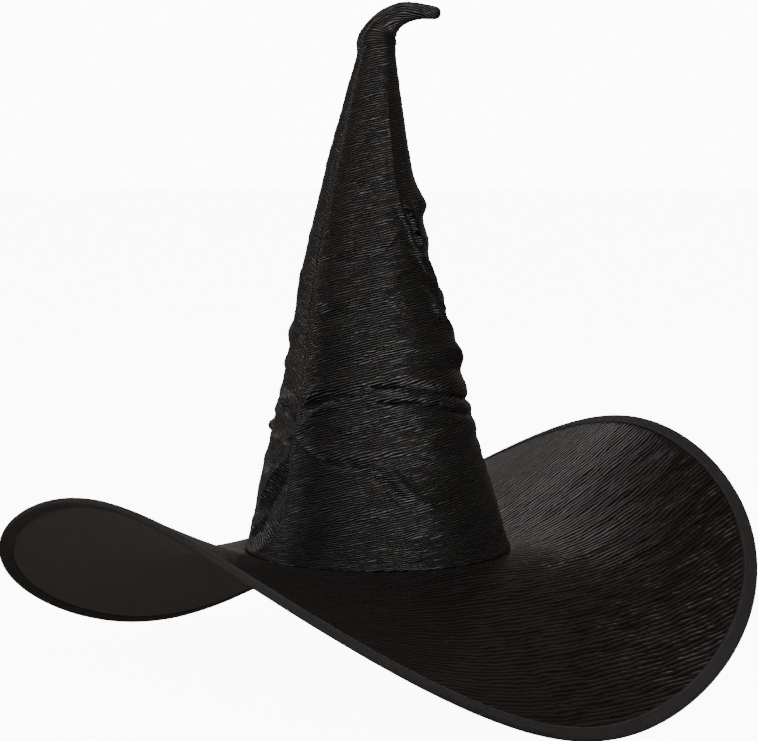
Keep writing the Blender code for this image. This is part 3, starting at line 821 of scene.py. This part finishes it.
def build_stitches(name, centres, forwards, ups):
    """A row of stitches: each a short thread, high in the middle and sunk at its ends."""
    turns = np.linspace(0, 2 * pi, 6, endpoint=False)[:, None]
    points = []
    faces = []
    for centre, forward, up in zip(centres, forwards, ups):
        section = THREAD_RADIUS * (np.cos(turns) * np.cross(forward, up) + np.sin(turns) * up)
        start = len(points)
        for step in np.linspace(-0.5, 0.5, 5):
            middle = centre + forward * step * STITCH_LENGTH + up * THREAD_RADIUS * (0.7 - 4.4 * step * step)
            points.extend(middle + section)
        for a in range(start, start + 24, 6):
            faces.extend((a + k, a + (k + 1) % 6, a + 6 + (k + 1) % 6, a + 6 + k) for k in range(6))
    return mesh_object(name, np.array(points), np.array(faces))


def build_binding_stitches():
    """A row of stitches on each face of the tape."""
    count = int(2 * pi * (CROWN_RADIUS + BRIM_REACH) / STITCH_PITCH)
    angle = np.linspace(0, 2 * pi, count, endpoint=False)
    out = np.full(count, BRIM_REACH - BINDING_WIDTH + 1.7 * MM)
    middle = brim_points(angle, out, np.zeros(count))
    rows = []
    for side, name in ((1, "binding_stitches_top"), (-1, "binding_stitches_under")):
        face = np.full(count, side * BINDING_FACE)
        centre = brim_points(angle, out, face)
        ways = (brim_points(angle + 0.002, out, face) - centre, centre - middle)
        ahead, up = (way / np.linalg.norm(way, axis=-1, keepdims=True) for way in ways)
        rows.append(build_stitches(name, centre, ahead, up))
    return rows


# ---- inside the crown ----
def build_lining():
    """A thin bag that hangs in soft gathers, drawn together at the top."""
    z = np.concatenate([np.linspace(1.9 * MM, 36 * MM, 12), np.linspace(42 * MM, LINING_DEPTH - 1 * MM, 60)])
    angle, height = np.meshgrid(np.linspace(0, 2 * pi, LINING_ROUND + 1), z)
    loose = rise(height, 30 * MM, 8 * MM)
    radius = crown_radius(height) - LINING_GAP - LINING_SLACK * loose
    gather = np.sin(LINING_GATHERS * angle + 2 * noise_grid(angle * 2, height / (60 * MM), 51))
    gather += noise_grid(9 * angle, height / (30 * MM), 52)
    radius -= 0.5 * MM * (1 + gather) * loose * np.clip((LINING_DEPTH - height) / (60 * MM), 0.2, 1)
    radius *= 1 - 0.94 * rise(height, LINING_DEPTH - 9 * MM, 9 * MM) ** 3
    points = vectors(crown_axis_x(height) + radius * np.cos(angle), radius * np.sin(angle), height)
    item = grid_object("lining_bag", points[:, :-1], vectors(angle * 60 * MM, height))
    cap_end(item, LINING_ROUND)
    return item


def build_sweatband():
    """A ribbed band with a folded top edge, sewn in just above the brim."""
    low, high = BAND_BOTTOM_Z, BAND_TOP_Z
    profile = [(z, 3.65) for z in np.linspace(low, high, 24)]
    profile += [(high + 0.3 * MM, 4.0)]
    profile += [(z, 4.55) for z in np.linspace(high, low, 40)]
    profile = np.array(profile + [(low - 0.25 * MM, 4.1)])
    turns = np.linspace(0, 2 * pi, 361)
    angle, height = np.meshgrid(turns, profile[:, 0])
    inward = profile[:, 1:] * MM
    face = inward > 4.2 * MM
    rib = 0.12 * MM * np.sin(2 * pi * height / RIB_PITCH) * face
    ease = 0.25 * MM * noise_grid(angle * 9, height / (14 * MM), 61)
    radius = crown_radius(np.maximum(height, CROWN_LOW_Z)) - inward + rib + ease * face
    points = vectors(radius * np.cos(angle), radius * np.sin(angle), height)
    cloth = vectors(turns * 95 * MM, np.arange(len(profile) + 1)[:, None] * 0.6 * MM)
    return grid_object("band_inside", points[:, :-1], cloth, closed_along=True)


def build_join_tape():
    """Bias tape folded over the raw edges under the sweatband, with its own edges turned in."""
    outside, inside = JOIN_OUTSIDE, JOIN_OUTSIDE - 0.8 * MM
    face = np.linspace(JOIN_HIGH_Z - 0.2 * MM, JOIN_LOW_Z + 0.3 * MM, 8)
    profile = [(outside - 0.25 * MM, JOIN_HIGH_Z - 1.6 * MM), (outside - 0.15 * MM, JOIN_HIGH_Z)]
    profile += [(outside, z) for z in face]
    profile += [(0.5 * (outside + inside), JOIN_LOW_Z)]
    profile += [(inside, z) for z in face[::-1]]
    profile += [(inside + 0.15 * MM, JOIN_HIGH_Z), (inside + 0.25 * MM, JOIN_HIGH_Z - 1.6 * MM)]
    profile = np.array(profile)
    angle, z = np.meshgrid(np.linspace(0, 2 * pi, 481), profile[:, 1])
    pull = 0.06 * MM * np.sin(2 * pi * angle * outside / STITCH_PITCH)
    radius = profile[:, :1] + pull + 0.05 * MM * noise_grid(angle * 40, z / MM, 91)
    points = vectors(radius * np.cos(angle), radius * np.sin(angle), z)
    cloth = vectors(angle * outside, np.linspace(0, 10 * MM, len(profile))[:, None])
    return grid_object("join_tape_folded", points[:, :-1], cloth)


def build_wire_casing():
    """The cloth tube round the wire, drawn in a little at each stitch."""
    z = np.linspace(CASING_LOW_Z, CASING_TOP_Z, 160)
    turn, height = np.meshgrid(np.linspace(0, 2 * pi, 25), np.concatenate([z, z[::-1]]))
    stitch = np.sin(2 * pi * height / STITCH_PITCH) * bell(turn_from(turn, pi / 2), 0.9)
    radius = CASING_RADIUS + 0.06 * MM * (stitch + noise_grid(turn * 2, height / (4 * MM), 95))
    radius[len(z) :] -= CASING_WALL
    out = crown_radius(height) - CASING_DEPTH + radius * np.cos(turn)
    aside = radius * np.sin(turn)
    points = vectors(
        crown_axis_x(height) + out * cos(CASING_ANGLE) - aside * sin(CASING_ANGLE),
        out * sin(CASING_ANGLE) + aside * cos(CASING_ANGLE),
        height,
    )
    cloth = vectors(turn * 2 * MM, height)
    return grid_object("casing_tube", points[:, :-1], np.concatenate([cloth, cloth[:1]]), closed_along=True)


def build_wadding(name, x, z, radii, facing, seed):
    """Lumpy stuffing round a bent centre line, with the wire's way left through it."""
    turn, step = np.meshgrid(np.linspace(0, 2 * pi, 61)[:-1], np.arange(len(x)))
    lumps = noise_grid(turn * 1.6, step / 3, seed) + 0.6 * noise_grid(turn * 4, step / 1.3, seed + 1)
    lumps = np.concatenate([lumps, lumps[::-1] * 0.1])
    size = np.concatenate([radii, np.full(len(radii), STUFFING_BORE)])[:, None] + 0.4 * MM * (lumps - 0.6)
    x, z, facing = (np.concatenate([line, line[::-1]])[:, None] for line in (x, z, facing))
    there_and_back = np.concatenate([turn, turn])
    points = crown_points(Rings(there_and_back, x, z, size, facing, None), 0.0)
    return grid_object(name, points, None, closed_along=True)


def build_top_wadding():
    """Stuffing in the top of the cone, rounded at both ends."""
    z = np.linspace(STUFFING_LOW_Z, STUFFING_TOP_Z, 40)
    ends = np.sqrt(rise(np.minimum(z - STUFFING_LOW_Z + 2 * MM, STUFFING_TOP_Z + 4 * MM - z), 0, 7 * MM))
    radii = (crown_radius(z) - 2.2 * MM) * (0.6 + 0.4 * ends)
    return build_wadding("cone_stuffing", crown_axis_x(z), z, radii, np.full(len(z), pi / 2), 101)


def build_tip_wadding():
    """Stuffing in the bent point."""
    rings = np.array(TIP_RINGS[:7])
    at = np.linspace(0, 6, 40)
    x, z, radius, facing = (smooth_curve(at, np.arange(7.0), rings[:, k]) for k in range(4))
    ends = np.sqrt(rise(np.minimum(at + 0.3, 6.3 - at), 0, 1.2))
    radii = (radius * MM - 2.4 * MM) * (0.6 + 0.4 * ends)
    return build_wadding("tip_stuffing", x * MM, z * MM, radii, np.radians(facing), 111)


def build_brim_felt():
    """The stiff layer between the brim's two cloths."""
    outs = np.linspace(BRIM_INSIDE, BRIM_FELT_END, 60)
    angle, out = np.meshgrid(np.linspace(0, 2 * pi, 361), np.concatenate([outs, outs[::-1]]))
    side = np.repeat([1.0, -1.0], len(outs))[:, None]
    above = side * (BRIM_FELT_HALF + 0.1 * MM * noise_grid(angle * 30, out / (6 * MM), 97))
    cloth = (CROWN_RADIUS + out)[..., None] * outward(angle)[..., :2]
    cloth = np.concatenate([cloth, cloth[:1]])
    return grid_object("brim_felt", brim_points(angle, out, above)[:, :-1], cloth, closed_along=True)


# ---- materials ----
def new_material(name):
    material = bpy.data.materials.new(name)
    material.use_nodes = True
    tree = material.node_tree
    return material, tree, tree.nodes["Principled BSDF"]


def add(tree, kind, **values):
    """A new node, with its inputs or its own settings given by name."""
    node = tree.nodes.new(kind)
    for key, value in values.items():
        if key in node.inputs:
            node.inputs[key].default_value = value
        else:
            setattr(node, key, value)
    return node


def cloth_vector(tree, across, up):
    """The cloth's own flat coordinates, scaled."""
    uv = add(tree, "ShaderNodeUVMap", uv_map="cloth")
    mapping = add(tree, "ShaderNodeMapping", Scale=(across, up, 1.0))
    tree.links.new(uv.outputs["UV"], mapping.inputs["Vector"])
    return mapping.outputs["Vector"]


def noise_node(tree, vector, scale=1.0, detail=3.0, rough=0.55):
    node = add(tree, "ShaderNodeTexNoise", Scale=scale, Detail=detail, Roughness=rough)
    tree.links.new(vector, node.inputs["Vector"])
    return node.outputs["Fac"]


def wave_node(tree, direction, vector, distortion, **values):
    """Parallel waves over the cloth."""
    node = add(tree, "ShaderNodeTexWave", wave_type="BANDS", bands_direction=direction, Scale=1.0, **values)
    node.inputs["Distortion"].default_value = distortion
    tree.links.new(vector, node.inputs["Vector"])
    return node.outputs["Fac"]


def ramp_node(tree, source, low, high, dark, light):
    node = add(tree, "ShaderNodeValToRGB")
    for stop, position, colour in zip(node.color_ramp.elements, (low, high), (dark, light)):
        stop.position = position
        stop.color = colour
    tree.links.new(source, node.inputs["Fac"])
    return node.outputs["Color"]


def range_node(tree, source, low, high, to_low, to_high):
    ends = {"From Min": low, "From Max": high, "To Min": to_low, "To Max": to_high}
    node = add(tree, "ShaderNodeMapRange", **ends)
    tree.links.new(source, node.inputs["Value"])
    return node.outputs["Result"]


def vary_gloss(tree, shader, source, low, high, rough, spread):
    """Roughness that follows a pattern, by this much to each side."""
    gloss = range_node(tree, source, low, high, rough - spread, rough + spread)
    tree.links.new(gloss, shader.inputs["Roughness"])


def bump_node(tree, height, distance, below=None):
    node = add(tree, "ShaderNodeBump", Distance=distance, Strength=1.0)
    tree.links.new(height, node.inputs["Height"])
    if below is not None:
        tree.links.new(below, node.inputs["Normal"])
    return node.outputs["Normal"]


def grey(level, warm=0.0):
    return (level * (1 + warm), level, level * (1 - warm), 1.0)


def set_sheen(shader, weight, rough):
    shader.inputs["Sheen Weight"].default_value = weight
    shader.inputs["Sheen Roughness"].default_value = rough


def crinkle_ridges(tree, length, pitch):
    """Close wavering ridges along the cloth's grain. They fade in places, but mostly run on."""
    waver = {"Detail": 2.0, "Detail Roughness": 0.5}
    lines = wave_node(tree, "Y", cloth_vector(tree, 1 / length, 0.314 / pitch), 5.0, **waver)
    breaks = noise_node(tree, cloth_vector(tree, 0.8 / length, 0.4 / pitch), detail=2.0)
    ridges = add(tree, "ShaderNodeMath", operation="MULTIPLY")
    tree.links.new(lines, ridges.inputs[0])
    tree.links.new(range_node(tree, breaks, 0.36, 0.56, 0.55, 1.0), ridges.inputs[1])
    return ridges.outputs["Value"]


def seam_line(tree):
    """1 on the seam of the cone, falling to 0 beside it."""
    uv = add(tree, "ShaderNodeUVMap", uv_map="seam")
    parts = add(tree, "ShaderNodeSeparateXYZ")
    tree.links.new(uv.outputs["UV"], parts.inputs["Vector"])
    beside = add(tree, "ShaderNodeMath", operation="ABSOLUTE")
    tree.links.new(parts.outputs["X"], beside.inputs[0])
    return range_node(tree, beside.outputs["Value"], 0.3 * MM, 1.3 * MM, 1.0, 0.0)


def crinkle_satin(name, dark, light, warm, length, pitch, depth, rough, shine, seamed=False):
    """Black satin set in fine crinkles. Little light comes back out of their valleys, so shade is painted
    there: a darker colour and a lower specular level.
    """
    material, tree, shader = new_material(name)
    height = crinkle_ridges(tree, length, pitch)
    patches = noise_node(tree, cloth_vector(tree, 16.0, 34.0))
    # Painted shade: the base colour and the specular level fall towards the valleys between the crinkle
    # ridges.
    colour = ramp_node(tree, height, 0.1, 0.9, grey(dark, warm), grey(light, warm))
    vary_gloss(tree, shader, patches, 0.3, 0.7, rough, 0.05)
    tree.links.new(range_node(tree, height, 0.1, 0.55, 0.15, shine), shader.inputs["Specular IOR Level"])
    normal = bump_node(tree, height, depth)
    if seamed:
        seam = seam_line(tree)
        normal = bump_node(tree, seam, 0.6 * MM, normal)
        # Painted highlight: along the seam the colour is mixed towards a lighter warm grey, where the seam's
        # edge catches the light.
        mix = add(tree, "ShaderNodeMix", data_type="RGBA")
        tree.links.new(seam, mix.inputs[0])
        tree.links.new(colour, mix.inputs[6])
        mix.inputs[7].default_value = grey(0.03, 0.06)
        colour = mix.outputs[2]
    tree.links.new(colour, shader.inputs["Base Color"])
    tree.links.new(normal, shader.inputs["Normal"])
    set_sheen(shader, 0.015, 0.4)
    return material


def plain_cloth(name, dark, light, warm, rough, weave=900.0, depth=0.12, sheen=0.1):
    """Fine plain weave, slightly uneven in tone."""
    material, tree, shader = new_material(name)
    patches = noise_node(tree, cloth_vector(tree, 30.0, 30.0), detail=4.0)
    colour = ramp_node(tree, patches, 0.3, 0.7, grey(dark, warm), grey(light, warm))
    tree.links.new(colour, shader.inputs["Base Color"])
    vary_gloss(tree, shader, patches, 0.2, 0.8, rough, 0.06)
    normal = None
    for direction, across, up in (("X", weave, weave * 0.2), ("Y", weave * 0.2, weave)):
        threads = wave_node(tree, direction, cloth_vector(tree, across, up), 0.6)
        normal = bump_node(tree, threads, depth * MM, normal)
    tree.links.new(normal, shader.inputs["Normal"])
    set_sheen(shader, sheen, 0.5)
    return material


def object_noise_material(name, dark, light, scale, rough, metallic, depth):
    """For pieces without cloth coordinates: tone, gloss and surface from noise in the object's own space."""
    material, tree, shader = new_material(name)
    space = add(tree, "ShaderNodeTexCoord").outputs["Object"]
    grain = noise_node(tree, space, scale, detail=5.0, rough=0.6)
    tree.links.new(ramp_node(tree, grain, 0.3, 0.7, dark, light), shader.inputs["Base Color"])
    vary_gloss(tree, shader, grain, 0.3, 0.7, rough, 0.08)
    shader.inputs["Metallic"].default_value = metallic
    tree.links.new(bump_node(tree, grain, depth * MM), shader.inputs["Normal"])
    return material


def set_material(item, material):
    item.data.materials.clear()
    item.data.materials.append(material)


def dress(item, material, body="hat"):
    """Gives a piece its material and the body it rides on."""
    set_material(item, material)
    if body:
        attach(item, body)


# ---- the studio ----
def area_light(name, place, aim, width, height, power, colour):
    """A soft box of light. Its width lies level."""
    data = bpy.data.lights.new(name, "AREA")
    data.shape = "RECTANGLE"
    data.size = width
    data.size_y = height
    data.energy = power
    data.color = colour
    lamp = bpy.data.objects.new(name, data)
    lamp.location = place
    lamp.rotation_euler = (Vector(aim) - Vector(place)).to_track_quat("-Z", "Y").to_euler()
    bpy.context.scene.collection.objects.link(lamp)


def build_world():
    """White to look at, and a dim warm room to light by."""
    world = bpy.data.worlds.new("studio")
    world.use_nodes = True
    tree = world.node_tree
    seen = tree.nodes["Background"]
    seen.inputs["Color"].default_value = (1, 1, 1, 1)
    seen.inputs["Strength"].default_value = BACKDROP_WHITE
    room = add(tree, "ShaderNodeBackground", Color=(1.0, 0.9, 0.82, 1), Strength=ROOM_LIGHT)
    path = add(tree, "ShaderNodeLightPath")
    mix = add(tree, "ShaderNodeMixShader")
    tree.links.new(path.outputs["Is Camera Ray"], mix.inputs["Fac"])
    tree.links.new(room.outputs["Background"], mix.inputs[1])
    tree.links.new(seen.outputs["Background"], mix.inputs[2])
    tree.links.new(mix.outputs["Shader"], tree.nodes["World Output"].inputs["Surface"])
    bpy.context.scene.world = world


def build_floor():
    """A pale sweep that the camera sees but that throws no light back on the hat."""
    half = 6.0
    low = float(CAD_BOX[0][2]) - 4 * MM
    corners = np.array([(-half, -half, low), (half, -half, low), (half, half, low), (-half, half, low)])
    floor = mesh_object("floor", corners, np.array([(0, 1, 2, 3)]))
    material, _, shader = new_material("floor_paper")
    shader.inputs["Base Color"].default_value = (0.9, 0.9, 0.9, 1)
    shader.inputs["Roughness"].default_value = 0.9
    shader.inputs["Emission Color"].default_value = (1, 1, 1, 1)
    shader.inputs["Emission Strength"].default_value = FLOOR_WHITE
    floor.data.materials.append(material)
    floor.visible_diffuse = False
    floor.visible_glossy = False
    floor.visible_shadow = False


def build_studio():
    build_world()
    build_floor()
    for light in LIGHTS:
        area_light(*light)


def build_camera():
    data = bpy.data.cameras.new("camera")
    camera = bpy.data.objects.new("camera", data)
    bpy.context.scene.collection.objects.link(camera)
    aim = Vector(AIM)
    camera.location = aim + CAMERA_DISTANCE * Vector((0, -cos(CAMERA_RISE), sin(CAMERA_RISE)))
    camera.rotation_euler = (aim - camera.location).to_track_quat("-Z", "Y").to_euler()
    data.sensor_width = 36.0
    data.lens = CAMERA_LENS
    bpy.context.scene.camera = camera


def main():
    satin = crinkle_satin("crinkle_satin", 0.001, 0.011, 0.06, 12 * MM, 1.9 * MM, 0.6 * MM, 0.33, 0.62, True)
    brim_satin = crinkle_satin("brim_satin", 0.001, 0.006, 0.14, 26 * MM, 3.6 * MM, 0.75 * MM, 0.3, 0.38)
    satin_back = plain_cloth("satin_back", 0.01, 0.02, 0.03, 0.6)
    under = plain_cloth("under_cloth", 0.015, 0.02, 0.14, 0.8)
    tape = plain_cloth("binding_tape", 0.007, 0.011, 0.08, 0.7, 1400.0, 0.2, 0.03)
    lining = plain_cloth("lining_cloth", 0.012, 0.02, 0.02, 0.55)
    band = plain_cloth("band_cloth", 0.014, 0.024, 0.02, 0.7, 1200.0, 0.2)
    thread = object_noise_material("thread", grey(0.03), grey(0.07), 1500.0, 0.45, 0.0, 0.05)
    felt = object_noise_material("stiffener_felt", grey(0.09), grey(0.15), 400.0, 0.92, 0.0, 0.3)
    pale = (grey(0.66, 0.02), grey(0.82, 0.02))
    wadding = object_noise_material("wadding_fibre", *pale, 260.0, 0.95, 0.0, 0.8)
    steel = object_noise_material("wire_steel", grey(0.42), grey(0.6), 900.0, 0.32, 1.0, 0.02)
    plastic = object_noise_material("cap_plastic", grey(0.55, 0.03), grey(0.65, 0.03), 700.0, 0.5, 0.0, 0.03)

    points, cloth = crown_surface()
    crown = build_crown_cloth(points, cloth)
    dress(crown, satin, None)
    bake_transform(crown)
    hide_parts("crown_shell", "tip_shell")

    across = 2 * (CROWN_RADIUS + BRIM_REACH)
    ring_area = pi * ((CROWN_RADIUS + BRIM_REACH) ** 2 - (CROWN_RADIUS + BRIM_INSIDE) ** 2)
    ring = ((across, across), ring_area, "stretched")
    inner_cone = build_interlining(points, cloth)
    seam = build_seam_edges(points)
    # Each soft piece: what it replaces, its material and slot, then its flat size, area and how it is held.
    soft = (
        (inner_cone, "crown_stiffener", felt, "stiffener_felt", (0.574, 0.222), 0.079, "stretched"),
        (seam, "crown_seam_allowance", satin_back, "crinkle_satin", (0.011, 0.15), None, "folded"),
        (build_brim_top(), "brim_top_cloth", brim_satin, "crinkle_satin", *ring),
        (build_brim_under(), "brim_under_cloth", under, "under_cloth", *ring),
        (build_brim_felt(), "brim_stiffener", felt, "stiffener_felt", *ring),
        (build_binding(), "brim_binding", tape, "tape", (1.8, 0.026), None, "folded"),
        (build_lining(), "crown_lining", lining, "lining_cloth", (0.559, 0.432), 0.12, "hung"),
        (build_sweatband(), "sweatband", band, "sweatband_cloth", (0.606, 0.034), None, "folded"),
        (build_join_tape(), "join_tape", tape, "tape", (0.61, 0.0105), None, "folded"),
        (build_wire_casing(), "wire_casing", tape, "tape", (0.0125, 0.126), None, "folded"),
    )
    for item, node, material, record_slot, flat, area, held in soft:
        dress(item, material)
        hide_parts(node)
    for item, node, body in (
        (build_top_wadding(), "top_wadding", "hat"),
        (build_tip_wadding(), "tip_wadding", "tip"),
    ):
        dress(item, wadding, body)
        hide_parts(node)
    for row in build_binding_stitches():
        dress(row, thread)

    for name in ("spine_wire", "tip_wire", "brim_wire", "brim_wire_sleeve"):
        set_material(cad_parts[name], steel)
    for name in ("spine_wire_cap", "tip_wire_cap"):
        set_material(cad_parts[name], plastic)
    build_studio()
    build_camera()


main()
